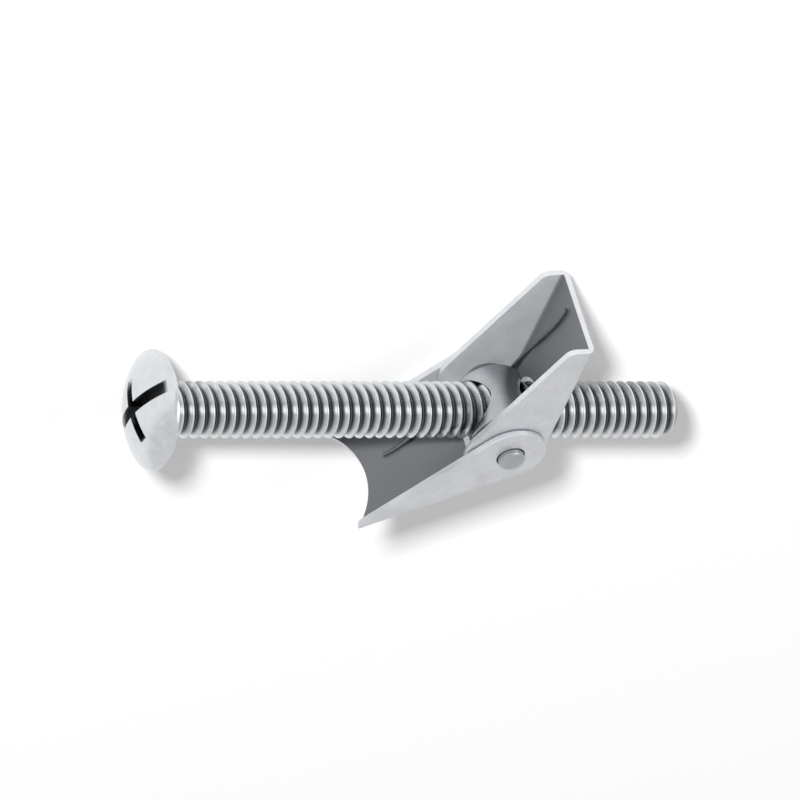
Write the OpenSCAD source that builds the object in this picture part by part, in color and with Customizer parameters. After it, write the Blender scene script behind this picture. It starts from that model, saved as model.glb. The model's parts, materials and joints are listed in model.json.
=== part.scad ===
// Spring toggle bolt: a machine screw that carries a pair of sprung, folding wings on a trunnion nut.
// The screw lies along X with the seat of its head at X = 0, and the wings turn about a line parallel to Z.

/* [Screw] */
// Outside diameter of the thread
thread_d = 6.35; // [5:0.05:7.5]
// Distance from one turn of the thread to the next
thread_pitch = 1.27; // [1:0.01:1.5]
// Depth of the thread
thread_depth = 0.78; // [0.5:0.01:0.9]
// Length from the seat of the head to the tip
screw_len = 63.5; // [60:0.5:100]
// Length of the chamfer at the tip
tip_len = 0.9; // [0.4:0.1:2]
// How much the tip chamfer takes off the radius
tip_step = 0.7; // [0.3:0.1:1.2]
// Diameter of the head
head_d = 13.4; // [11:0.1:18]
// Height of the whole head
head_h = 2.8; // [2.4:0.1:4]
// Height of the upright rim under the dome
head_rim = 0.5; // [0.2:0.1:0.8]

/* [Drive] */
// Width of the driver slot
slot_w = 1.4; // [0.8:0.1:2]
// Depth of the driver slot at the middle of the dome
slot_depth = 1.8; // [0.8:0.1:2]
// Turn of the slot about the screw, from the Y axis towards Z
slot_turn = 10; // [-90:1:90]
// Length of the cross recess from arm end to arm end
cross_len = 7.6; // [4:0.1:9]
// Width of an arm of the cross recess
cross_w = 1.3; // [0.7:0.1:1.8]
// Depth of the cross recess
cross_depth = 2.2; // [1.4:0.1:2.3]

/* [Nut] */
// Distance of the wings' pivot from the seat of the head
pivot_x = 42; // [30:0.5:52]
// Wall of the nut's barrel beside the thread
nut_wall = 0.5; // [0.4:0.05:1.5]
// Wall of the nut's barrel at its two ends
nut_end_wall = 0.45; // [0.3:0.05:1.5]
// Radius of the arms that the spring winds round
arm_r = 1.9; // [1.6:0.05:2.4]
// Radius of the pivot pins
pin_r = 1.5; // [0.8:0.05:1.7]
// How far the pins stand out of the outer wing's ears
pin_proud = 0.7; // [0.1:0.05:1]
// Chamfer on the nut's turned edges
nut_chamfer = 0.2; // [0.1:0.05:0.3]
// Depth of the centre-punch mark in each pin end
punch_depth = 0.35; // [0.1:0.05:0.6]

/* [Wings] */
// Reach of the inner wing from the pivot to its tip
inner_len = 18; // [15:0.1:26]
// Reach of the outer wing from the pivot to its tip
outer_len = 18.6; // [15:0.1:26]
// Thickness of the sheet
sheet_t = 0.65; // [0.4:0.05:0.9]
// Inside radius of the folds
bend_r = 0.25; // [0.15:0.05:0.5]
// Radius of the inner wing's ears round the pivot
inner_ear_r = 5.1; // [4.6:0.1:5.4]
// Radius of the outer wing's ears round the pivot
outer_ear_r = 4.1; // [3.4:0.1:5]
// Depth of the inner wing's flanges at its tip
inner_tip_depth = 3.3; // [2.6:0.1:5]
// Corner radius of the inner wing's flanges at its tip
inner_tip_r = 1.2; // [0.3:0.1:1.2]
// Depth of the outer wing's flanges at its tip
outer_tip_depth = 1.3; // [1.1:0.1:3]
// Corner radius of the outer wing's flanges at its tip
outer_tip_r = 0.4; // [0.2:0.1:0.5]
// Depth of the hollow in the end of the outer wing's web
scallop_depth = 2.6; // [1:0.1:4]
// Backward sweep of the inner wing from square to the screw
inner_sweep = 4; // [4:1:60]
// Backward sweep of the outer wing from square to the screw
outer_sweep = 57; // [10:1:70]

/* [Spring] */
// Diameter of the spring wire
wire_d = 0.45; // [0.3:0.05:0.6]
// Rise of the coil in each turn, with room for it to wind up as the wings fold
coil_pitch = 0.66; // [0.6:0.01:0.8]
// Whole turns in the coil, besides the turn between the wings
coil_turns = 1; // [1:1:2]
// Reach of the leg on the inner wing
inner_leg = 16.5; // [10:0.5:17]
// Reach of the leg on the outer wing
outer_leg = 13.5; // [9:0.5:15]
// Distance of the leg ends from the wings' centre plane
leg_end_offset = 1.4; // [0:0.1:2.5]

/* [Clearances] */
// Radial play of the nut on the screw
thread_play = 0.05; // [0.03:0.01:0.1]
// Radial play of the ears on the pins
pin_play = 0.15; // [0.05:0.01:0.25]
// Gap between the barrel and the wings' webs
web_gap = 0.22; // [0.15:0.01:0.6]
// Gap between neighbouring ears
ear_gap = 0.15; // [0.1:0.01:0.4]
// Gap between the spring and what it lies beside
spring_gap = 0.07; // [0.05:0.01:0.2]
// Room left for the screw in the cut of the inner wing's web
notch_gap = 0.33; // [0.25:0.01:0.8]

/* [Hidden] */
$fn = 64;
over = 1;

steel = "#c6c9cc";
steel_dark = "#a9adb1";
spring_steel = "#8b9096";

thread_r = thread_d / 2;
root_r = thread_r - thread_depth;
cap_h = head_h - head_rim;
dome_r = (pow(head_d / 2, 2) + pow(cap_h, 2)) / (2 * cap_h);
// Depth of the dome's surface at the arm ends of the cross recess, and the recess's taper from there
cross_edge = dome_r - sqrt(pow(dome_r, 2) - pow(cross_len / 2, 2));
cross_taper = (cross_len - cross_w) / 2 / (cross_depth - cross_edge);

bore_r = thread_r + thread_play;
barrel_r = bore_r + nut_wall;
barrel_half = bore_r + nut_end_wall;

wire_r = wire_d / 2;
turn_start = -outer_sweep;
turn_end = inner_sweep + 360 * coil_turns;
coil_rise = coil_pitch * (turn_end - turn_start) / 360;
coil_room = coil_rise + wire_d + 2 * spring_gap;
coil_r = arm_r + spring_gap + wire_r;
coil_z = -(barrel_half + spring_gap + wire_r);

arm_half = barrel_half + coil_room;
inner_half = arm_half + spring_gap + sheet_t;
outer_half = inner_half + ear_gap + sheet_t;
pin_half = outer_half + pin_proud;

web_in = barrel_r + web_gap;
web_out = web_in + sheet_t;
notch_half = thread_r + notch_gap;

function mix(a, b, s) = a + (b - a) * s;
function ease(s) = let (c = min(1, max(0, s))) c * c * (3 - 2 * c);
function unit(v) = v / norm(v);

// Lays what is drawn along Z along the screw.
module along_screw() {
    rotate([0, 90, 0]) children();
}

module screw() {
    color(steel)
    difference() {
        union() {
            translate([-head_rim, 0, 0]) along_screw() cylinder(d = head_d, h = head_rim);
            dome();
            along_screw() shank();
        }
        translate([-head_h, 0, 0]) rotate([slot_turn, 0, 0]) drive_recess();
    }
}

// The thread's turns are drawn as rings at its pitch. A crest meets the seat, and the tip is chamfered.
module shank() {
    turns = floor((screw_len - tip_len) / thread_pitch);
    crest_half = thread_pitch / 16;
    rings = [
        for (i = [0 : turns - 1])
            each [
                [thread_r, i * thread_pitch + crest_half],
                [root_r, (i + 0.5) * thread_pitch],
                [thread_r, (i + 1) * thread_pitch - crest_half],
            ]
    ];
    tip = [
        [thread_r, screw_len - tip_len],
        [thread_r - tip_step, screw_len],
        [0, screw_len],
    ];
    rotate_extrude() polygon(concat([[0, 0], [thread_r, 0]], rings, tip));
}

// The dome is the slice of a ball that stands on the rim.
module dome() {
    intersection() {
        translate([dome_r - head_h, 0, 0]) sphere(r = dome_r);
        translate([-head_h - over, -head_d, -head_d]) cube([cap_h + over, 2 * head_d, 2 * head_d]);
    }
}

// A straight slot right across the dome, crossed by a tapered four-armed recess.
module drive_recess() {
    translate([-over, -head_d, -slot_w / 2]) cube([slot_depth + over, 2 * head_d, slot_w]);
    intersection() {
        translate([-over, 0, 0]) along_screw()
            cylinder(
                r1 = cross_w / 2 + cross_taper * (cross_depth + over),
                r2 = cross_w / 2,
                h = cross_depth + over
            );
        for (turn = [0, 90]) {
            rotate([turn, 0, 0])
                translate([-2 * over, -head_d, -cross_w / 2])
                    cube([cross_depth + 4 * over, 2 * head_d, cross_w]);
        }
    }
}

// A turned barrel with stepped ends: arms for the spring, then pins for the wings' ears.
module trunnion_nut() {
    half_profile = [
        [barrel_r, 0],
        [barrel_r, barrel_half - nut_chamfer],
        [barrel_r - nut_chamfer, barrel_half],
        [arm_r, barrel_half],
        [arm_r, arm_half],
        [pin_r, arm_half],
        [pin_r, pin_half - nut_chamfer],
        [pin_r - nut_chamfer, pin_half],
        [0, pin_half],
        [0, 0],
    ];
    color(steel_dark)
    translate([pivot_x, 0, 0])
    difference() {
        for (end = [0, 1]) {
            mirror([0, 0, end]) difference() {
                rotate_extrude() polygon(half_profile);
                translate([0, 0, pin_half - punch_depth])
                    cylinder(r1 = 0, r2 = pin_r - 2 * nut_chamfer, h = punch_depth + punch_depth / 100);
            }
        }
        along_screw() cylinder(r = bore_r, h = 4 * barrel_r, center = true);
    }
}

// Direction in which a straight edge from a round at the origin to a round of radius r at p stands off both.
function tangent_dir(ear_r, p, r, side) =
    let (turn = atan2(p.y, p.x) + side * acos((ear_r - r) / norm(p)))
    [cos(turn), sin(turn)];

function tip_centre(reach, tip_depth, tip_r) = [reach - tip_r, tip_depth - web_out - tip_r];

// The outer wing's web starts where the free edge of the folded inner wing clears it.
inner_edge = tangent_dir(inner_ear_r, tip_centre(inner_len, inner_tip_depth, inner_tip_r), inner_tip_r, 1);
web_start = (inner_ear_r - barrel_r * inner_edge.y) / inner_edge.x;

// Side view of a flange, as a block: a round ear at the pivot, a straight free edge that runs
// to a small round at the tip, and a heel where the flange leaves the fold.
module flange_block(reach, ear_r, tip_depth, tip_r, tall) {
    tip = tip_centre(reach, tip_depth, tip_r);
    heel = [web_start, -web_out];
    free_edge = tangent_dir(ear_r, tip, tip_r, 1);
    translate([0, 0, -tall / 2]) {
        cylinder(r = ear_r, h = tall);
        translate(tip) cylinder(r = tip_r, h = tall);
        linear_extrude(height = tall) polygon([
            ear_r * free_edge,
            tip + tip_r * free_edge,
            [reach, tip.y],
            [reach, -web_out],
            heel,
            ear_r * tangent_dir(ear_r, heel, 0, -1),
        ]);
    }
}

// A trough with a flat bottom and round lower corners, open at the top.
module trough(half, bottom, corner) {
    tall = 3 * web_out;
    translate([-half, bottom + corner]) square([2 * half, tall]);
    translate([corner - half, bottom]) square([2 * (half - corner), tall]);
    for (side = [-1, 1]) {
        translate([side * (half - corner), bottom + corner]) circle(r = corner);
    }
}

// Folded channel along X with its web below, cut to the flange outline and drilled for the pins.
module wing_channel(half, reach, ear_r, tip_depth, tip_r) {
    difference() {
        intersection() {
            translate([-ear_r - over, 0, 0]) along_screw() linear_extrude(height = ear_r + reach + over)
                difference() {
                    trough(half, -web_out, bend_r + sheet_t);
                    trough(half - sheet_t, -web_in, bend_r);
                }
            flange_block(reach, ear_r, tip_depth, tip_r, 4 * half);
        }
        cylinder(r = pin_r + pin_play, h = 4 * half, center = true);
    }
}

// Cutter for the web alone, from behind the ears to reach, between the two sides.
module web_cut(reach, half) {
    behind = 2 * web_out;
    translate([-behind, -web_out - over, -half])
        cube([behind + reach, over + sheet_t + bend_r, 2 * half]);
}

// The wing whose ears lie inside. Its web is forked where the screw passes.
module wing_inner() {
    color(steel)
    translate([pivot_x, 0, 0])
    rotate([0, 0, 90 + inner_sweep])
    difference() {
        wing_channel(inner_half, inner_len, inner_ear_r, inner_tip_depth, inner_tip_r);
        web_cut(0, notch_half);
        translate([0, -web_in + bend_r, 0]) rotate([90, 0, 0])
            cylinder(r = notch_half, h = over + sheet_t + bend_r);
    }
}

// The wing whose ears lie outside. Its web ends in a hollow between two points.
module wing_outer() {
    chord = outer_half - bend_r;
    scallop_r = (pow(chord, 2) + pow(scallop_depth, 2)) / (2 * scallop_depth);
    color(steel)
    translate([pivot_x, 0, 0])
    rotate([0, 0, -90 - outer_sweep])
    mirror([0, 1, 0])
    difference() {
        wing_channel(outer_half, outer_len, outer_ear_r, outer_tip_depth, outer_tip_r);
        web_cut(web_start, outer_half - sheet_t);
        translate([outer_len - scallop_depth + scallop_r, 0, 0]) rotate([90, 0, 0])
            cylinder(r = scallop_r, h = 4 * web_out, center = true);
    }
}

// A leg leaves the coil level, then climbs to the middle of its web and lies along it.
leg_steps = 14;
climb_start = barrel_r;
settle_reach = 0.5;
function leg_point(s, reach, level) =
    let (along = s * reach,
         out = mix(coil_r, web_in - spring_gap - wire_r, ease(s / settle_reach)),
         rise = ease((along - climb_start) / (reach - climb_start)))
    [along, -out, mix(level, -leg_end_offset, rise)];

// Places a point of a wing's own side view in the assembly, about the pivot.
function on_inner(p) = let (c = cos(inner_sweep), s = sin(inner_sweep))
    [-s * p.x - c * p.y, c * p.x - s * p.y, p.z];
function on_outer(p) = let (c = cos(outer_sweep), s = sin(outer_sweep))
    [-s * p.x - c * p.y, s * p.y - c * p.x, p.z];

coil_step = 15;
coil_count = ceil((turn_end - turn_start) / coil_step);
function coil_point(s) =
    let (turn = mix(turn_start, turn_end, s))
    [coil_r * cos(turn), coil_r * sin(turn), coil_z - coil_rise * (1 - s)];

wire_path = concat(
    [for (i = [leg_steps : -1 : 1]) on_outer(leg_point(i / leg_steps, outer_leg, coil_z - coil_rise))],
    [for (i = [0 : coil_count]) coil_point(i / coil_count)],
    [for (i = [1 : leg_steps]) on_inner(leg_point(i / leg_steps, inner_leg, coil_z))]
);

// Sweeps a round wire along a path that never runs upright.
module wire(path, r) {
    sides = 8;
    last = len(path) - 1;
    points = [
        for (i = [0 : last])
            let (t = unit(path[min(last, i + 1)] - path[max(0, i - 1)]),
                 across = unit(cross([0, 0, 1], t)),
                 up = cross(t, across))
            for (k = [0 : sides - 1])
                let (turn = 360 * k / sides)
                path[i] + r * (cos(turn) * across + sin(turn) * up)
    ];
    walls = [
        for (i = [0 : last - 1])
            for (k = [0 : sides - 1])
                let (a = i * sides + k, b = i * sides + (k + 1) % sides)
                each [[a, b + sides, b], [a, a + sides, b + sides]]
    ];
    caps = [
        [for (k = [0 : sides - 1]) k],
        [for (k = [sides - 1 : -1 : 0]) last * sides + k],
    ];
    polyhedron(points, concat(walls, caps));
}

// Torsion spring: a coil on the nut's lower arm, with a leg behind each wing's web.
module spring() {
    color(spring_steel) translate([pivot_x, 0, 0]) wire(wire_path, wire_r);
}

screw();
trunnion_nut();
wing_inner();
wing_outer();
spring();
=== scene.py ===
"""A spring toggle bolt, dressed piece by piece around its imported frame.

Each piece is modelled in millimetres and brought to metres, at its place, when it is done.
"""
import json
import math

import bpy
import bmesh
from mathutils import Matrix, Vector


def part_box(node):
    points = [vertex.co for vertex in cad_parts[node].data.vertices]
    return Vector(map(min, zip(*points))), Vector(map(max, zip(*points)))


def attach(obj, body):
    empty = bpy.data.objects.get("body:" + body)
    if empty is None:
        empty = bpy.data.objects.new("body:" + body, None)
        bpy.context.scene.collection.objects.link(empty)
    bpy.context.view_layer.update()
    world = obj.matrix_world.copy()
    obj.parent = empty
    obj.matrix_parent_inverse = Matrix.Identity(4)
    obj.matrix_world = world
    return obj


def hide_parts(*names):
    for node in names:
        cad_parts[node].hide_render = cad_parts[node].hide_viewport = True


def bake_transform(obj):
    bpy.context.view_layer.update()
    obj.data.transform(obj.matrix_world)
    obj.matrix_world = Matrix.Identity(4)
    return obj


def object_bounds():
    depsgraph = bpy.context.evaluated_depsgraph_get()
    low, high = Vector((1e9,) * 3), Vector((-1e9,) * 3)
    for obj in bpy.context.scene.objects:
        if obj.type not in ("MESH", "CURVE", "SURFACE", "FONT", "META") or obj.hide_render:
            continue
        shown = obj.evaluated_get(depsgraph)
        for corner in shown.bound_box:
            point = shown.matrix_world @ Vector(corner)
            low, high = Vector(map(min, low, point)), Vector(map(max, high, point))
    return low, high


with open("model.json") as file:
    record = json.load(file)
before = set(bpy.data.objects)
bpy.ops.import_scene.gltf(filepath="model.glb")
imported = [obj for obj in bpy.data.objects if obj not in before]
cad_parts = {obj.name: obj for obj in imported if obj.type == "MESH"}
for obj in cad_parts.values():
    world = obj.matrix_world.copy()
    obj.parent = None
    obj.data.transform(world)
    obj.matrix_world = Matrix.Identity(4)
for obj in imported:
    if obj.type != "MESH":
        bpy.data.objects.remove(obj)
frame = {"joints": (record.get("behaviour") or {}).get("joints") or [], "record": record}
cad_low, cad_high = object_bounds()


# Machine screw
# Low-carbon steel wire, cold headed and thread rolled, then plated with bright zinc.
# The thread runs up to the seat of a low domed head, which takes a flat or a cross driver.
METRES = 0.001
shank_mount = next(mount for mount in frame["record"]["mounts"] if mount["name"] == "shank")
thread_r = shank_mount["dims"]["r_mm"]
shank_len = shank_mount["dims"]["length_mm"]
pitch = 1.27
# The depths of root and flank are an inch thread's, as shares of its pitch.
thread_depth = 0.613 * pitch
flank_depth = 0.541 * pitch
crest_round = 0.03
thread_steps = 72
spare_turns = 4
tip_len = 0.9
tip_step = 0.7
tip_room = 0.3
head_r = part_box("screw")[1].z / METRES
head_h = 2.8
head_rim = 0.5
head_lap = 0.25
rim_round = 0.14
slot_w = 1.4
slot_depth = 1.8
slot_turn = math.radians(10)
cross_len = 7.6
cross_w = 1.3
cross_depth = 2.2

# A cutter stands past what it cuts by over. Points nearer than a speck are waste from a cut, points
# nearer than a weld are meant as one, and points within near_plane of a cutting plane lie in it.
# Faces that turn by less than flat_within are one face, and facing is how much of a face's normal
# lies along an axis that it faces.
over = 1.0
speck = 0.01
weld = 0.001
near_plane = 0.00001
flat_within = math.radians(0.3)
facing = 0.9


def clear_selection():
    """Leaves edit mode and deselects every object."""
    if bpy.context.object and bpy.context.object.mode == "EDIT":
        bpy.ops.object.mode_set(mode="OBJECT")
    bpy.ops.object.select_all(action="DESELECT")


def make_active(piece):
    """Selects the piece alone, for the operators that follow."""
    clear_selection()
    piece.select_set(True)
    bpy.context.view_layer.objects.active = piece


def named(name):
    """Names the primitive that was just added, and fixes its place in its mesh."""
    piece = bpy.context.object
    piece.name = name
    piece.data.name = name
    bpy.ops.object.transform_apply(location=True, rotation=True, scale=True)
    return piece


def edit_faces(piece, wanted):
    """Opens the piece for editing with the faces selected that the test picks."""
    make_active(piece)
    bpy.ops.object.mode_set(mode="EDIT")
    bpy.ops.mesh.select_mode(type="FACE")
    bpy.ops.mesh.select_all(action="DESELECT")
    mesh = bmesh.from_edit_mesh(piece.data)
    for face in mesh.faces:
        face.select_set(wanted(face.calc_center_median(), face.normal))
    bmesh.update_edit_mesh(piece.data)


def edit_all(piece):
    """Opens the piece for editing with every face selected."""
    edit_faces(piece, lambda centre, normal: True)


def edit_edges(piece, wanted):
    """Opens the piece for editing with the edges selected that the test picks."""
    make_active(piece)
    bpy.ops.object.mode_set(mode="EDIT")
    bpy.ops.mesh.select_mode(type="EDGE")
    bpy.ops.mesh.select_all(action="DESELECT")
    mesh = bmesh.from_edit_mesh(piece.data)
    for edge in mesh.edges:
        edge.select_set(wanted(edge))
    bmesh.update_edit_mesh(piece.data)


def cut(piece, tool, how="DIFFERENCE"):
    """Cuts the piece with the tool, or joins or trims it, and merges the specks that this leaves."""
    make_active(piece)
    step = piece.modifiers.new(how, "BOOLEAN")
    step.operation = how
    step.solver = "EXACT"
    step.object = tool
    bpy.ops.object.modifier_apply(modifier=step.name)
    bpy.data.objects.remove(tool)
    edit_all(piece)
    bpy.ops.mesh.dissolve_limited(angle_limit=flat_within)
    bpy.ops.mesh.select_all(action="SELECT")
    bpy.ops.mesh.remove_doubles(threshold=speck)
    bpy.ops.mesh.dissolve_degenerate(threshold=speck)
    bpy.ops.mesh.normals_make_consistent(inside=False)
    bpy.ops.object.mode_set(mode="OBJECT")


def soften(piece, width, sharper_than=40, segments=2):
    """Rounds the edges over which the surface turns by more than an angle."""
    limit = math.radians(sharper_than)
    edit_edges(piece, lambda edge: edge.is_manifold and edge.calc_face_angle() > limit)
    bpy.ops.mesh.bevel(offset=width, segments=segments, affect="EDGES", clamp_overlap=True)
    bpy.ops.object.mode_set(mode="OBJECT")


def to_place(piece, smooth_below, turn=0.0, at=(0, 0, 0)):
    """Turns the piece about Z, moves it to where it belongs and brings it to metres."""
    make_active(piece)
    piece.rotation_euler = (0, 0, turn)
    piece.location = Vector(at)
    piece.scale = (METRES, METRES, METRES)
    bpy.ops.object.transform_apply(location=True, rotation=True, scale=True)
    bpy.ops.object.shade_smooth_by_angle(angle=math.radians(smooth_below))
    flat_faces = piece.modifiers.new("flat_faces", "WEIGHTED_NORMAL")
    flat_faces.keep_sharp = True
    bpy.ops.object.modifier_apply(modifier=flat_faces.name)


def thread_profile():
    """One turn of the rolled thread, from root to root, as places along the screw and radii."""
    root_half = pitch / 8
    crest_half = pitch / 16
    hollow_half = 0.55 * root_half
    hollow_depth = 0.965 * thread_depth
    rise = [
        (0, thread_r - thread_depth),
        (hollow_half, thread_r - hollow_depth),
        (root_half, thread_r - flank_depth),
        (pitch / 2 - crest_half - crest_round, thread_r - crest_round),
        (pitch / 2 - crest_half + crest_round, thread_r),
    ]
    return rise + [(pitch - along, radius) for along, radius in reversed(rise)]


profile = thread_profile()
clear_selection()
bpy.ops.mesh.primitive_circle_add(vertices=len(profile), fill_type="NOTHING")
screw = named("screw_thread")
for vertex, (along, radius) in zip(screw.data.vertices, profile):
    vertex.co = (along - spare_turns / 2 * pitch, radius, 0)
edit_edges(screw, lambda edge: abs(edge.verts[0].index - edge.verts[1].index) > 1)
bpy.ops.mesh.delete(type="EDGE")
bpy.ops.object.mode_set(mode="OBJECT")
winding = screw.modifiers.new("winding", "SCREW")
winding.axis = "X"
winding.screw_offset = pitch
winding.iterations = math.ceil(shank_len / pitch) + spare_turns
winding.steps = thread_steps
winding.render_steps = thread_steps
bpy.ops.object.modifier_apply(modifier=winding.name)
edit_all(screw)
bpy.ops.mesh.remove_doubles(threshold=weld)
for place, side in ((-pitch, -1), (shank_len + pitch, 1)):
    edit_all(screw)
    bpy.ops.mesh.bisect(
        plane_co=(place, 0, 0),
        plane_no=(side, 0, 0),
        use_fill=True,
        clear_outer=True,
        threshold=near_plane,
    )
    bpy.ops.object.mode_set(mode="OBJECT")
edit_all(screw)
bpy.ops.mesh.normals_make_consistent(inside=False)
bpy.ops.object.mode_set(mode="OBJECT")

# The blank that the thread was rolled on gives the chamfered tip.
clear_selection()
blank_len = shank_len + head_lap
bpy.ops.mesh.primitive_cylinder_add(
    vertices=thread_steps,
    radius=thread_r + tip_room,
    depth=blank_len - tip_len - tip_room,
    location=((shank_len - tip_len - tip_room - head_lap) / 2, 0, 0),
    rotation=(0, math.pi / 2, 0),
)
blank = named("blank")
edit_faces(blank, lambda centre, normal: normal.x > facing)
bpy.ops.mesh.extrude_region_move(TRANSFORM_OT_translate={"value": (tip_len + tip_room, 0, 0)})
end_share = (thread_r - tip_step) / (thread_r + tip_room)
bpy.ops.transform.resize(value=(1, end_share, end_share), center_override=(shank_len, 0, 0))
bpy.ops.object.mode_set(mode="OBJECT")
cut(screw, blank, "INTERSECT")

# The head is the slice of a ball that stands on a short upright rim.
dome_h = head_h - head_rim
dome_r = (head_r**2 + dome_h**2) / (2 * dome_h)
clear_selection()
bpy.ops.mesh.primitive_uv_sphere_add(
    segments=128,
    ring_count=160,
    radius=dome_r,
    location=(dome_r - head_h, 0, 0),
    rotation=(0, -math.pi / 2, 0),
)
head = named("head")
edit_all(head)
bpy.ops.mesh.bisect(
    plane_co=(-head_rim, 0, 0),
    plane_no=(1, 0, 0),
    use_fill=True,
    clear_outer=True,
    threshold=near_plane,
)
edit_faces(head, lambda centre, normal: normal.x > facing)
bpy.ops.mesh.extrude_region_move(TRANSFORM_OT_translate={"value": (head_rim, 0, 0)})
bpy.ops.object.mode_set(mode="OBJECT")
soften(head, rim_round, sharper_than=30, segments=3)

# A straight slot crosses the dome, and a tapered four-armed recess crosses the slot.
clear_selection()
bpy.ops.mesh.primitive_cube_add(
    size=1,
    location=((slot_depth - over) / 2 - head_h, 0, 0),
    rotation=(slot_turn, 0, 0),
    scale=(slot_depth + over, 3 * head_r, slot_w),
)
slot = named("slot")
cross_edge = dome_r - math.sqrt(dome_r**2 - (cross_len / 2) ** 2)
cross_taper = (cross_len - cross_w) / 2 / (cross_depth - cross_edge)
clear_selection()
bpy.ops.mesh.primitive_cone_add(
    vertices=64,
    radius1=cross_w / 2 + cross_taper * (cross_depth + over),
    radius2=cross_w / 2,
    depth=cross_depth + over,
    location=((cross_depth - over) / 2 - head_h, 0, 0),
    rotation=(0, math.pi / 2, 0),
)
recess = named("recess")
clear_selection()
arm_shape = {"size": 1, "location": (-head_h, 0, 0), "scale": (4 * cross_depth, 3 * head_r, cross_w)}
bpy.ops.mesh.primitive_cube_add(rotation=(slot_turn, 0, 0), **arm_shape)
arms = named("arms")
clear_selection()
bpy.ops.mesh.primitive_cube_add(rotation=(slot_turn + math.pi / 2, 0, 0), **arm_shape)
cut(arms, named("second_arm"), "UNION")
cut(recess, arms, "INTERSECT")
cut(slot, recess, "UNION")
cut(head, slot)
cut(screw, head, "UNION")
screw.name = "machine_screw"
to_place(screw, smooth_below=32)


def linear(hex_colour):
    """An sRGB hex colour as linear red, green, blue and alpha."""
    values = [int(hex_colour[i : i + 2], 16) / 255 for i in (1, 3, 5)]
    return [v / 12.92 if v <= 0.04045 else ((v + 0.055) / 1.055) ** 2.4 for v in values] + [1]


def add_node(material, kind, settings, inputs):
    """Adds a node to a material, with its settings, and with values or links on its inputs."""
    tree = material.node_tree
    node = tree.nodes.new(kind)
    for name, value in settings.items():
        setattr(node, name, value)
    for socket, value in inputs.items():
        if isinstance(value, bpy.types.NodeSocket):
            tree.links.new(value, node.inputs[socket])
        else:
            node.inputs[socket].default_value = value
    return node


def new_material(name):
    """An empty material, ready for its nodes."""
    material = bpy.data.materials.new(name)
    material.use_nodes = True
    material.node_tree.nodes.clear()
    return material


def per_mm(count):
    """Pattern scale, in repeats to the metre, from repeats to the millimetre."""
    return count / METRES


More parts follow.
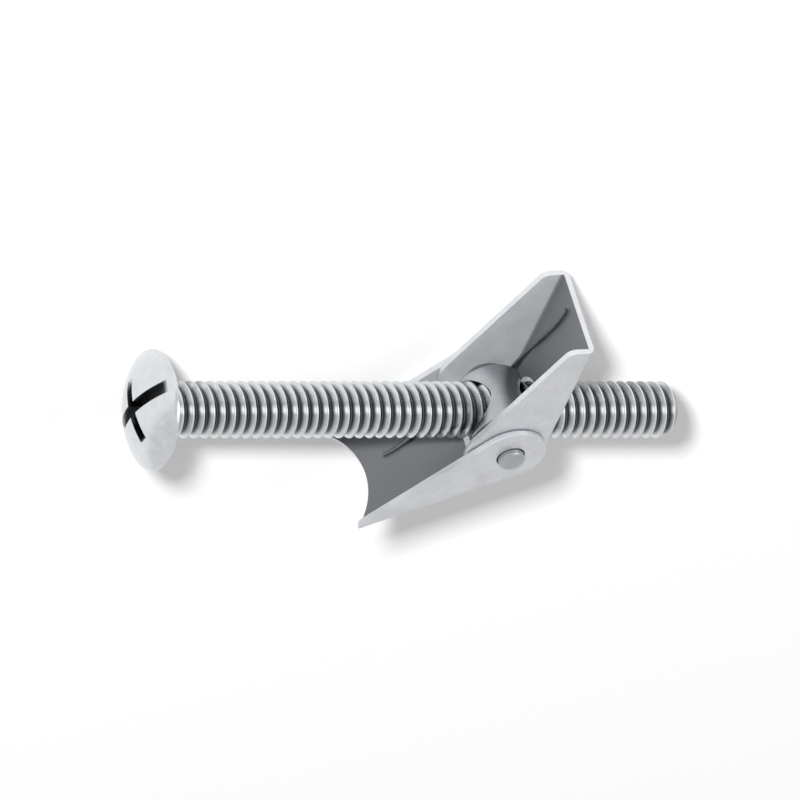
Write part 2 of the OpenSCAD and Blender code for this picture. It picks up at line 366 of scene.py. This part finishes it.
def zinc_on_thread():
    """Bright zinc over rolled steel: bright crests and dome, with painted shade that darkens the thread
    roots and the recess.

    The plating's grain is drawn coarser than the real one, which is too fine to show.
    """
    # Painted shade in the thread: full below the first radius, none above the second, and likewise
    # inside the recess.
    root_shade_full_r = thread_r - 0.8 * thread_depth
    root_shade_none_r = thread_r - 0.3 * thread_depth
    recess_shade_full_r = dome_r - 0.5
    recess_shade_none_r = dome_r - 0.1
    shank_half = shank_len / 2
    end_margin = 0.02
    material = new_material("zinc_plated_rolled_steel")
    place = add_node(material, "ShaderNodeTexCoord", {}, {})
    cloud = add_node(
        material,
        "ShaderNodeTexNoise",
        {},
        {"Vector": place.outputs["Object"], "Scale": per_mm(0.9), "Detail": 4.0, "Roughness": 0.6},
    )
    plate = add_node(
        material,
        "ShaderNodeMix",
        {"data_type": "RGBA"},
        {0: cloud.outputs["Fac"], 6: linear("#c8cbcf"), 7: linear("#e6e8ea")},
    )
    axes = add_node(material, "ShaderNodeSeparateXYZ", {}, {0: place.outputs["Object"]})
    radial = add_node(
        material, "ShaderNodeCombineXYZ", {}, {"Y": axes.outputs["Y"], "Z": axes.outputs["Z"]}
    )
    radius = add_node(
        material, "ShaderNodeVectorMath", {"operation": "LENGTH"}, {0: radial.outputs["Vector"]}
    )
    root = add_node(
        material,
        "ShaderNodeMapRange",
        {},
        {
            "Value": radius.outputs["Value"],
            "From Min": root_shade_full_r * METRES,
            "From Max": root_shade_none_r * METRES,
            "To Min": 0.88,
            "To Max": 0.0,
        },
    )
    along = add_node(
        material,
        "ShaderNodeMath",
        {"operation": "SUBTRACT"},
        {0: axes.outputs["X"], 1: shank_half * METRES},
    )
    off_middle = add_node(
        material, "ShaderNodeMath", {"operation": "ABSOLUTE"}, {0: along.outputs["Value"]}
    )
    on_shank = add_node(
        material,
        "ShaderNodeMath",
        {"operation": "LESS_THAN"},
        {0: off_middle.outputs["Value"], 1: (shank_half - end_margin) * METRES},
    )
    in_thread = add_node(
        material,
        "ShaderNodeMath",
        {"operation": "MULTIPLY"},
        {0: root.outputs["Result"], 1: on_shank.outputs["Value"]},
    )
    from_ball = add_node(
        material,
        "ShaderNodeVectorMath",
        {"operation": "DISTANCE"},
        {0: place.outputs["Object"], 1: ((dome_r - head_h) * METRES, 0, 0)},
    )
    sunk = add_node(
        material,
        "ShaderNodeMapRange",
        {},
        {
            "Value": from_ball.outputs["Value"],
            "From Min": recess_shade_full_r * METRES,
            "From Max": recess_shade_none_r * METRES,
            "To Min": 0.9,
            "To Max": 0.0,
        },
    )
    on_head = add_node(
        material,
        "ShaderNodeMath",
        {"operation": "LESS_THAN"},
        {0: axes.outputs["X"], 1: -head_rim * METRES},
    )
    in_recess = add_node(
        material,
        "ShaderNodeMath",
        {"operation": "MULTIPLY"},
        {0: sunk.outputs["Result"], 1: on_head.outputs["Value"]},
    )
    # Painted shade: the thread's roots and the driver recess are darkened towards a near-black tone.
    root_and_recess_shade = add_node(
        material,
        "ShaderNodeMath",
        {"operation": "MAXIMUM"},
        {0: in_thread.outputs["Value"], 1: in_recess.outputs["Value"]},
    )
    colour = add_node(
        material,
        "ShaderNodeMix",
        {"data_type": "RGBA"},
        {0: root_and_recess_shade.outputs["Value"], 6: plate.outputs[2], 7: linear("#2e2f31")},
    )
    gloss = add_node(
        material,
        "ShaderNodeMapRange",
        {},
        {"Value": cloud.outputs["Fac"], "To Min": 0.16, "To Max": 0.32},
    )
    peel = add_node(
        material,
        "ShaderNodeTexNoise",
        {},
        {"Vector": place.outputs["Object"], "Scale": per_mm(6), "Detail": 2.0},
    )
    bump = add_node(
        material,
        "ShaderNodeBump",
        {},
        {"Height": peel.outputs["Fac"], "Strength": 0.08, "Distance": 0.02 * METRES},
    )
    shader = add_node(
        material,
        "ShaderNodeBsdfPrincipled",
        {},
        {
            "Base Color": colour.outputs[2],
            "Roughness": gloss.outputs["Result"],
            "Normal": bump.outputs["Normal"],
            "Metallic": 1.0,
        },
    )
    add_node(material, "ShaderNodeOutputMaterial", {}, {"Surface": shader.outputs["BSDF"]})
    return material


screw.data.materials.clear()
screw.data.materials.append(zinc_on_thread())
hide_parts("screw")
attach(screw, "screw_body")


# Trunnion nut
# A steel barrel turned on a lathe, tapped across its middle for the screw, and zinc plated.
# Its stepped ends are the arms that carry the spring and the pins that the wings turn on.
fold_joint = next(joint for joint in frame["joints"] if joint["name"] == "wing_inner_fold")
pivot = Vector(fold_joint["pos_m"])
nut_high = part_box("trunnion_nut")[1]
pin_half = nut_high.z / METRES
barrel_r = nut_high.y / METRES
thread_play = 0.05
bore_r = thread_r + thread_play
bore_wall = 0.45
barrel_half = bore_r + bore_wall
arm_r = 1.9
sheet_t = 0.65
spring_gap = 0.07
inner_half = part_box("wing_inner")[1].z / METRES
arm_half = inner_half - sheet_t - spring_gap
pin_r = 1.5
nut_chamfer = 0.2
punch_depth = 0.35
nut_edge_round = 0.06
mouth_round = 0.03
nut_steps = 96

half_profile = [
    (barrel_r, barrel_half - nut_chamfer),
    (barrel_r - nut_chamfer, barrel_half),
    (arm_r, barrel_half),
    (arm_r, arm_half),
    (pin_r, arm_half),
    (pin_r, pin_half - nut_chamfer),
    (pin_r - nut_chamfer, pin_half),
    (pin_r - 2 * nut_chamfer, pin_half),
    (0, pin_half - punch_depth),
]
nut_profile = [(r, -z) for r, z in reversed(half_profile)] + half_profile
clear_selection()
bpy.ops.mesh.primitive_circle_add(vertices=len(nut_profile), fill_type="NOTHING")
nut = named("trunnion_barrel")
for vertex, (radius, height) in zip(nut.data.vertices, nut_profile):
    vertex.co = (radius, 0, height)
edit_edges(nut, lambda edge: abs(edge.verts[0].index - edge.verts[1].index) > 1)
bpy.ops.mesh.delete(type="EDGE")
bpy.ops.mesh.select_all(action="SELECT")
bpy.ops.mesh.spin(steps=nut_steps, angle=2 * math.pi, center=(0, 0, 0), axis=(0, 0, 1))
bpy.ops.mesh.select_all(action="SELECT")
bpy.ops.mesh.remove_doubles(threshold=weld)
bpy.ops.mesh.normals_make_consistent(inside=False)
bpy.ops.object.mode_set(mode="OBJECT")
soften(nut, nut_edge_round, sharper_than=35, segments=3)
clear_selection()
bpy.ops.mesh.primitive_cylinder_add(
    vertices=nut_steps, radius=bore_r, depth=4 * barrel_r, rotation=(0, math.pi / 2, 0)
)
cut(nut, named("bore"))
soften(nut, mouth_round, sharper_than=35)
to_place(nut, smooth_below=50, at=pivot)


def zinc_on_turned_steel():
    """Zinc over lathe-turned steel: greyer than the rest, with fine rings round the barrel.

    The rings are drawn coarser than the real ones, which are too fine to show.
    """
    material = new_material("zinc_plated_turned_steel")
    place = add_node(material, "ShaderNodeTexCoord", {}, {})
    rings = add_node(
        material,
        "ShaderNodeTexWave",
        {"bands_direction": "Z"},
        {"Vector": place.outputs["Object"], "Scale": per_mm(1.2), "Distortion": 1.5, "Detail": 2.0},
    )
    cloud = add_node(
        material,
        "ShaderNodeTexNoise",
        {},
        {"Vector": place.outputs["Object"], "Scale": per_mm(0.7), "Detail": 3.0},
    )
    colour = add_node(
        material,
        "ShaderNodeMix",
        {"data_type": "RGBA"},
        {0: cloud.outputs["Fac"], 6: linear("#a0a3a7"), 7: linear("#c3c6c9")},
    )
    gloss = add_node(
        material,
        "ShaderNodeMapRange",
        {},
        {"Value": cloud.outputs["Fac"], "To Min": 0.26, "To Max": 0.42},
    )
    bump = add_node(
        material,
        "ShaderNodeBump",
        {},
        {"Height": rings.outputs["Fac"], "Strength": 0.1, "Distance": 0.02 * METRES},
    )
    shader = add_node(
        material,
        "ShaderNodeBsdfPrincipled",
        {},
        {
            "Base Color": colour.outputs[2],
            "Roughness": gloss.outputs["Result"],
            "Normal": bump.outputs["Normal"],
            "Metallic": 1.0,
        },
    )
    add_node(material, "ShaderNodeOutputMaterial", {}, {"Surface": shader.outputs["BSDF"]})
    return material


nut.data.materials.clear()
nut.data.materials.append(zinc_on_turned_steel())
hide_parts("trunnion_nut")
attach(nut, "nut")


# Wings
# Two channels pressed from cold-rolled steel strip: blanked, drilled, folded up and zinc plated.
# The inner wing's ears lie inside the outer wing's, and both are sprung over the nut's pins.
bend_r = 0.25
web_gap = 0.22
web_in = barrel_r + web_gap
web_out = web_in + sheet_t
pin_play = 0.15
pin_hole_r = pin_r + pin_play
sheet_edge_round = 0.07
fork_gap = 0.33
fork_half = thread_r + fork_gap
outer_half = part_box("wing_outer")[1].z / METRES
inner_sweep = math.radians(4)
outer_sweep = math.radians(57)
inner_shape = {"reach": 18, "ear_r": 5.1, "tip_depth": 3.3, "tip_r": 1.2}
outer_shape = {"reach": 18.6, "ear_r": 4.1, "tip_depth": 1.3, "tip_r": 0.4}
scallop_depth = 2.6

# The cut in the outer wing's web stops a ledge short of the flanges, so that no two faces lie in one
# plane. A face that lies within a skin of the sheet's inner side has the inside's finish.
fold_ledge = 0.02
skin = 0.03


def tip_centre(shape):
    """The middle of the round at the tip of a flange."""
    return Vector((shape["reach"] - shape["tip_r"], shape["tip_depth"] - web_out - shape["tip_r"], 0))


def web_start():
    """Where the outer wing's web can start, clear of the free edge of the folded inner wing."""
    tip = tip_centre(inner_shape)
    lean = math.acos((inner_shape["ear_r"] - inner_shape["tip_r"]) / tip.length)
    edge_turn = math.atan2(tip.y, tip.x) + lean
    return (inner_shape["ear_r"] - barrel_r * math.sin(edge_turn)) / math.cos(edge_turn)


def pressed_channel(name, half, shape):
    """A wing on its own axis: a folded sheet along X, its web below, cut to the flanges' outline."""
    reach = shape["reach"]
    ear_r = shape["ear_r"]
    back = -ear_r - over
    top = ear_r + over
    clear_selection()
    bpy.ops.mesh.primitive_cube_add(
        size=1,
        location=((back + reach) / 2, (top - web_out) / 2, 0),
        scale=(reach - back, top + web_out, 2 * half),
    )
    wing = named(name)
    edit_faces(wing, lambda centre, normal: normal.y > facing or abs(normal.x) > facing)
    bpy.ops.mesh.delete(type="FACE")
    edit_edges(wing, lambda edge: not edge.is_boundary)
    bpy.ops.mesh.bevel(offset=bend_r + sheet_t, segments=8, affect="EDGES")
    bpy.ops.object.mode_set(mode="OBJECT")
    wall = wing.modifiers.new("sheet", "SOLIDIFY")
    wall.thickness = sheet_t
    wall.offset = -1
    bpy.ops.object.modifier_apply(modifier=wall.name)

    tip = tip_centre(shape)
    clear_selection()
    bpy.ops.mesh.primitive_cylinder_add(vertices=96, radius=ear_r, depth=4 * half)
    outline = named("outline")
    bpy.ops.object.mode_set(mode="EDIT")
    bpy.ops.mesh.primitive_cylinder_add(
        vertices=32, radius=shape["tip_r"], depth=4 * half, location=tip
    )
    end_block = {"size": 1, "scale": (reach - web_start(), tip.y + web_out, 4 * half)}
    end_centre = ((reach + web_start()) / 2, (tip.y - web_out) / 2, 0)
    bpy.ops.mesh.primitive_cube_add(location=end_centre, **end_block)
    bpy.ops.mesh.select_all(action="SELECT")
    bpy.ops.mesh.convex_hull()
    bpy.ops.object.mode_set(mode="OBJECT")
    cut(wing, outline, "INTERSECT")

    clear_selection()
    bpy.ops.mesh.primitive_cylinder_add(vertices=64, radius=pin_hole_r, depth=4 * half)
    cut(wing, named("pin_hole"))
    return wing


# The inner wing's web is forked where the screw passes.
fold_top = bend_r - web_in
wing_inner = pressed_channel("wing_inner_sheet", inner_half, inner_shape)
fork_floor = -web_out - over
fork_mid = (fold_top + fork_floor) / 2
clear_selection()
bpy.ops.mesh.primitive_cube_add(
    size=1,
    location=(-web_out, fork_mid, 0),
    scale=(2 * web_out, fold_top - fork_floor, 2 * fork_half),
)
fork = named("fork")
clear_selection()
bpy.ops.mesh.primitive_cylinder_add(
    vertices=128,
    radius=fork_half,
    depth=fold_top - fork_floor,
    location=(0, fork_mid, 0),
    rotation=(math.pi / 2, 0, 0),
)
cut(fork, named("fork_end"), "UNION")
cut(wing_inner, fork)
soften(wing_inner, sheet_edge_round)
to_place(wing_inner, smooth_below=50, turn=math.pi / 2 + inner_sweep, at=pivot)

# The outer wing's web starts behind its ears and ends in a hollow between two points.
wing_outer = pressed_channel("wing_outer_sheet", outer_half, outer_shape)
gap_half = outer_half - sheet_t - fold_ledge
clear_selection()
bpy.ops.mesh.primitive_cube_add(
    size=1,
    location=(web_start() / 2 - web_out, fork_mid, 0),
    scale=(2 * web_out + web_start(), fold_top - fork_floor, 2 * gap_half),
)
cut(wing_outer, named("web_cut"))
chord = outer_half - bend_r
scallop_r = (chord**2 + scallop_depth**2) / (2 * scallop_depth)
clear_selection()
bpy.ops.mesh.primitive_cylinder_add(
    vertices=256,
    radius=scallop_r,
    depth=4 * web_out,
    location=(outer_shape["reach"] - scallop_depth + scallop_r, 0, 0),
    rotation=(math.pi / 2, 0, 0),
)
cut(wing_outer, named("scallop"))
edit_all(wing_outer)
bpy.ops.transform.mirror(constraint_axis=(False, True, False), center_override=(0, 0, 0))
bpy.ops.mesh.normals_make_consistent(inside=False)
bpy.ops.object.mode_set(mode="OBJECT")
soften(wing_outer, sheet_edge_round)
to_place(wing_outer, smooth_below=50, turn=-math.pi / 2 - outer_sweep, at=pivot)


def zinc_on_strip(name, half, turn, web_side, web_shade_tone):
    """Bright zinc over cold-rolled strip: pale, with faint rolling lines along the wing.

    Tumbling doesn't reach the channel, which stays matt inside. The web inside the channel is darkened
    with painted shade, which fades out a little way up the flanges. The lines are drawn coarser than the
    real ones, which are too fine to show.
    """
    line_stretch = (0.06, 1, 1)
    dark_below = 0.05
    pale_above = 0.6
    material = new_material(name)
    place = add_node(material, "ShaderNodeTexCoord", {}, {})
    along = add_node(
        material,
        "ShaderNodeMapping",
        {"vector_type": "TEXTURE"},
        {"Vector": place.outputs["Object"], "Location": pivot, "Rotation": (0, 0, turn)},
    )
    stretched = add_node(
        material,
        "ShaderNodeMapping",
        {"vector_type": "POINT"},
        {"Vector": along.outputs["Vector"], "Scale": line_stretch},
    )
    lines = add_node(
        material,
        "ShaderNodeTexNoise",
        {},
        {"Vector": stretched.outputs["Vector"], "Scale": per_mm(5), "Detail": 3.0, "Roughness": 0.65},
    )
    cloud = add_node(
        material,
        "ShaderNodeTexNoise",
        {},
        {"Vector": along.outputs["Vector"], "Scale": per_mm(0.35), "Detail": 5.0, "Roughness": 0.62},
    )
    plate = add_node(
        material,
        "ShaderNodeMix",
        {"data_type": "RGBA"},
        {0: cloud.outputs["Fac"], 6: linear("#bfc2c6"), 7: linear("#e6e8ea")},
    )
    rolled = add_node(
        material,
        "ShaderNodeMix",
        {"data_type": "RGBA", "blend_type": "OVERLAY"},
        {0: 0.3, 6: plate.outputs[2], 7: lines.outputs["Color"]},
    )
    own = add_node(material, "ShaderNodeSeparateXYZ", {}, {0: along.outputs["Vector"]})
    off_web = add_node(
        material,
        "ShaderNodeMath",
        {"operation": "MULTIPLY_ADD"},
        {0: own.outputs["Y"], 1: -web_side, 2: web_in * METRES},
    )
    near_web = add_node(
        material,
        "ShaderNodeMapRange",
        {"interpolation_type": "SMOOTHSTEP"},
        {
            "Value": off_web.outputs["Value"],
            "From Min": dark_below * METRES,
            "From Max": pale_above * METRES,
            "To Min": 0.92,
            "To Max": 0.0,
        },
    )
    above_outside = add_node(
        material,
        "ShaderNodeMath",
        {"operation": "GREATER_THAN"},
        {0: off_web.outputs["Value"], 1: -skin * METRES},
    )
    across = add_node(material, "ShaderNodeMath", {"operation": "ABSOLUTE"}, {0: own.outputs["Z"]})
    between = add_node(
        material,
        "ShaderNodeMath",
        {"operation": "LESS_THAN"},
        {0: across.outputs["Value"], 1: (half - sheet_t + skin) * METRES},
    )
    inside = add_node(
        material,
        "ShaderNodeMath",
        {"operation": "MULTIPLY"},
        {0: above_outside.outputs["Value"], 1: between.outputs["Value"]},
    )
    # Painted shade: the inside of the web, and the flanges just beside it, are darkened towards the
    # shade tone.
    web_shade = add_node(
        material,
        "ShaderNodeMath",
        {"operation": "MULTIPLY"},
        {0: near_web.outputs["Result"], 1: inside.outputs["Value"]},
    )
    colour = add_node(
        material,
        "ShaderNodeMix",
        {"data_type": "RGBA"},
        {0: web_shade.outputs["Value"], 6: rolled.outputs[2], 7: linear(web_shade_tone)},
    )
    gloss = add_node(
        material,
        "ShaderNodeMapRange",
        {},
        {"Value": cloud.outputs["Fac"], "To Min": 0.3, "To Max": 0.48},
    )
    metal = add_node(
        material,
        "ShaderNodeMapRange",
        {},
        {"Value": inside.outputs["Value"], "To Min": 0.74, "To Max": 0.3},
    )
    bump = add_node(
        material,
        "ShaderNodeBump",
        {},
        {"Height": lines.outputs["Fac"], "Strength": 0.12, "Distance": 0.02 * METRES},
    )
    shader = add_node(
        material,
        "ShaderNodeBsdfPrincipled",
        {},
        {
            "Base Color": colour.outputs[2],
            "Roughness": gloss.outputs["Result"],
            "Normal": bump.outputs["Normal"],
            "Metallic": metal.outputs["Result"],
        },
    )
    add_node(material, "ShaderNodeOutputMaterial", {}, {"Surface": shader.outputs["BSDF"]})
    return material


# The inner wing's web takes a painted shade of #5c5e61.
wing_inner.data.materials.clear()
wing_inner.data.materials.append(
    zinc_on_strip("zinc_plated_inner_strip", inner_half, math.pi / 2 + inner_sweep, -1, "#5c5e61")
)
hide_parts("wing_inner")
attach(wing_inner, "inner_wing")
# The outer wing's web takes a painted shade of #525457.
wing_outer.data.materials.clear()
wing_outer.data.materials.append(
    zinc_on_strip("zinc_plated_outer_strip", outer_half, -math.pi / 2 - outer_sweep, 1, "#525457")
)
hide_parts("wing_outer")
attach(wing_outer, "outer_wing")


# Torsion spring
# Hard-drawn spring wire, wound a turn and a bit round the nut's lower arm and left unplated.
# Each leg lies along a wing's web and goes with its wing. The coil is in two stretches.
wire_r = 0.225
coil_pitch = 0.66
coil_r = arm_r + spring_gap + wire_r
coil_top = -(barrel_half + spring_gap + wire_r)
turn_start = -outer_sweep
turn_end = 2 * math.pi + inner_sweep
coil_rise = coil_pitch * (turn_end - turn_start) / (2 * math.pi)
rigid_turn = math.radians(28)
inner_leg = 16.5
outer_leg = 13.5
leg_end_offset = 1.4
leg_steps = 48
coil_steps = 60
settle_share = 0.5


def eased(share):
    """A share from nought to one, with a gentle start and end."""
    share = min(1, max(0, share))
    return share * share * (3 - 2 * share)


def coil_point(turn):
    """The place on the coil's middle line at an angle about the pivot."""
    share = (turn - turn_start) / (turn_end - turn_start)
    return Vector((coil_r * math.cos(turn), coil_r * math.sin(turn), coil_top - coil_rise * (1 - share)))


def leg_points(reach, level):
    """A leg on its wing's own axis, from the coil to its end: it settles on the web and climbs."""
    points = []
    for step in range(1, leg_steps + 1):
        along = reach * step / leg_steps
        out = eased(along / reach / settle_share)
        rise = eased((along - barrel_r) / (reach - barrel_r))
        away = coil_r + (web_in - spring_gap - wire_r - coil_r) * out
        points.append(Vector((along, -away, level + (-leg_end_offset - level) * rise)))
    return points


def wire_piece(name, points):
    """A round wire along the points, as a closed mesh."""
    clear_selection()
    bpy.ops.curve.primitive_nurbs_path_add()
    wire = bpy.context.object
    wire.name = name
    wire.data.splines.clear()
    line = wire.data.splines.new("POLY")
    line.points.add(len(points) - 1)
    for knot, point in zip(line.points, points):
        knot.co = (*point, 1)
    wire.data.bevel_depth = wire_r
    wire.data.bevel_resolution = 4
    wire.data.use_fill_caps = True
    bpy.ops.object.convert(target="MESH")
    piece = bpy.context.object
    edit_all(piece)
    bpy.ops.mesh.remove_doubles(threshold=speck)
    bpy.ops.mesh.normals_make_consistent(inside=False)
    to_place(piece, smooth_below=60, at=pivot)
    return piece


def turned(points, sweep, mirrored):
    """Points of a wing's own axis, about the pivot: the outer wing's are mirrored first."""
    side = -1 if mirrored else 1
    turn = Matrix.Rotation(side * (math.pi / 2 + sweep), 3, "Z")
    return [turn @ Vector((p.x, side * p.y, p.z)) for p in points]


def coil_stretch(first, last):
    """Points along the coil from one angle to another."""
    return [coil_point(first + (last - first) * step / coil_steps) for step in range(coil_steps + 1)]


turn_mid = (turn_start + turn_end) / 2
lower_leg = turned(leg_points(outer_leg, coil_top - coil_rise), outer_sweep, mirrored=True)
upper_leg = turned(leg_points(inner_leg, coil_top), inner_sweep, mirrored=False)
leg_outer = wire_piece(
    "spring_leg_outer", lower_leg[::-1] + coil_stretch(turn_start, turn_start + rigid_turn)
)
leg_inner = wire_piece("spring_leg_inner", coil_stretch(turn_end - rigid_turn, turn_end) + upper_leg)
coil_outer = wire_piece("spring_coil_outer", coil_stretch(turn_start + rigid_turn, turn_mid))
coil_inner = wire_piece("spring_coil_inner", coil_stretch(turn_mid, turn_end - rigid_turn))


def drawn_wire():
    """Hard-drawn spring wire: darker than the plating, a little cloudy, with a dull sheen."""
    material = new_material("drawn_spring_wire")
    place = add_node(material, "ShaderNodeTexCoord", {}, {})
    cloud = add_node(
        material,
        "ShaderNodeTexNoise",
        {},
        {"Vector": place.outputs["Object"], "Scale": per_mm(1.4), "Detail": 4.0},
    )
    colour = add_node(
        material,
        "ShaderNodeMix",
        {"data_type": "RGBA"},
        {0: cloud.outputs["Fac"], 6: linear("#6e7176"), 7: linear("#9a9da1")},
    )
    gloss = add_node(
        material,
        "ShaderNodeMapRange",
        {},
        {"Value": cloud.outputs["Fac"], "To Min": 0.24, "To Max": 0.4},
    )
    shader = add_node(
        material,
        "ShaderNodeBsdfPrincipled",
        {},
        {"Base Color": colour.outputs[2], "Roughness": gloss.outputs["Result"], "Metallic": 1.0},
    )
    add_node(material, "ShaderNodeOutputMaterial", {}, {"Surface": shader.outputs["BSDF"]})
    return material


wire_finish = drawn_wire()
for wire in (leg_outer, leg_inner, coil_outer, coil_inner):
    wire.data.materials.clear()
    wire.data.materials.append(wire_finish)
    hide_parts("spring")
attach(leg_outer, "outer_wing")
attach(leg_inner, "inner_wing")


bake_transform(coil_outer)
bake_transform(coil_inner)


# Floor and light
# A sheet of white paper under the part, in a white room that fills the shadows a little.
# A lamp near the camera throws a short shadow to the picture's lower right, and a weaker one
# beside the part puts a glint on the thread.
paper_size = 6
fill_light = 0.35
paper_lift = 0.15
clear_selection()
bpy.ops.mesh.primitive_plane_add(size=paper_size, location=(0, 0, cad_low.z))
floor = bpy.context.object
floor.name = "paper_floor"


def shown_white(material):
    """One for the rays that show a surface to the eye, straight or in metal, and zero for the light."""
    path = add_node(material, "ShaderNodeLightPath", {}, {})
    mirrored = add_node(
        material,
        "ShaderNodeMath",
        {"operation": "MAXIMUM"},
        {0: path.outputs["Is Glossy Ray"], 1: path.outputs["Is Transmission Ray"]},
    )
    shown = add_node(
        material,
        "ShaderNodeMath",
        {"operation": "MAXIMUM"},
        {0: path.outputs["Is Camera Ray"], 1: mirrored.outputs["Value"]},
    )
    return shown.outputs["Value"]


def white_paper():
    """Matt white paper that takes the part's shadow, lifted a little to the eye."""
    material = new_material("white_paper")
    lift = add_node(
        material, "ShaderNodeMath", {"operation": "MULTIPLY"}, {0: paper_lift, 1: shown_white(material)}
    )
    paper = add_node(
        material,
        "ShaderNodeBsdfPrincipled",
        {},
        {
            "Base Color": linear("#fafafa"),
            "Roughness": 0.9,
            "Emission Color": linear("#ffffff"),
            "Emission Strength": lift.outputs["Value"],
        },
    )
    add_node(material, "ShaderNodeOutputMaterial", {}, {"Surface": paper.outputs["BSDF"]})
    return material


floor.data.materials.append(white_paper())

scene = bpy.context.scene
scene.view_settings.view_transform = "Standard"
world = bpy.data.worlds.new("studio")
scene.world = world
world.use_nodes = True
world.node_tree.nodes.clear()
level = add_node(
    world, "ShaderNodeMath", {"operation": "MAXIMUM"}, {0: fill_light, 1: shown_white(world)}
)
background = add_node(world, "ShaderNodeBackground", {}, {"Strength": level.outputs["Value"]})
add_node(world, "ShaderNodeOutputWorld", {}, {"Surface": background.outputs["Background"]})


lamp_aim = Vector((0.03, 0, 0))


def soft_box(name, direction, distance, width, radiance):
    """A square lamp that faces the part from a direction, as bright to the eye as its radiance."""
    lamp = bpy.data.lights.new(name, "AREA")
    lamp.shape = "SQUARE"
    lamp.size = width
    lamp.energy = radiance * math.pi * width**2
    holder = bpy.data.objects.new(name, lamp)
    bpy.context.scene.collection.objects.link(holder)
    away = Vector(direction).normalized()
    holder.location = lamp_aim + away * distance
    holder.rotation_euler = (-away).to_track_quat("-Z", "Y").to_euler()
    return holder


soft_box("side_box", direction=(0.444, 0.722, 0.6), distance=0.9, width=0.4, radiance=2.0)

# As behind a polariser, the metal doesn't mirror the lamp, so that no flat face burns out.
key_box = soft_box(
    "key_box", direction=(-0.526, 0.726, 0.444), distance=2.0, width=0.16, radiance=656.0
)
key_box.visible_glossy = False


# Camera
# It stands where the picture was taken from: the part is swung away from the picture's plane
# and rolled about its screw, and the lens is long, so that parallel edges stay parallel.
view_swing = math.radians(26.4)
view_roll = math.radians(53.7)
picture_size = 800
pixel = 0.111 * METRES
pivot_pixel = (495, 409.5)
right = Vector(
    (
        math.cos(view_swing),
        math.sin(view_roll) * math.sin(view_swing),
        math.cos(view_roll) * math.sin(view_swing),
    )
)
up = Vector((0, math.cos(view_roll), -math.sin(view_roll)))
toward = right.cross(up)
half_picture = picture_size / 2
target_right = (half_picture - pivot_pixel[0]) * pixel
target_up = (pivot_pixel[1] - half_picture) * pixel
target = pivot + right * target_right + up * target_up
lens = bpy.data.cameras.new("camera")
lens.lens = 1000
lens.sensor_width = 36
camera_distance = picture_size * pixel * lens.lens / lens.sensor_width
lens.clip_end = 10 * camera_distance
camera = bpy.data.objects.new("camera", lens)
scene.collection.objects.link(camera)
camera.matrix_world = Matrix.Translation(target + toward * camera_distance) @ Matrix(
    (right, up, toward)
).transposed().to_4x4()
scene.camera = camera
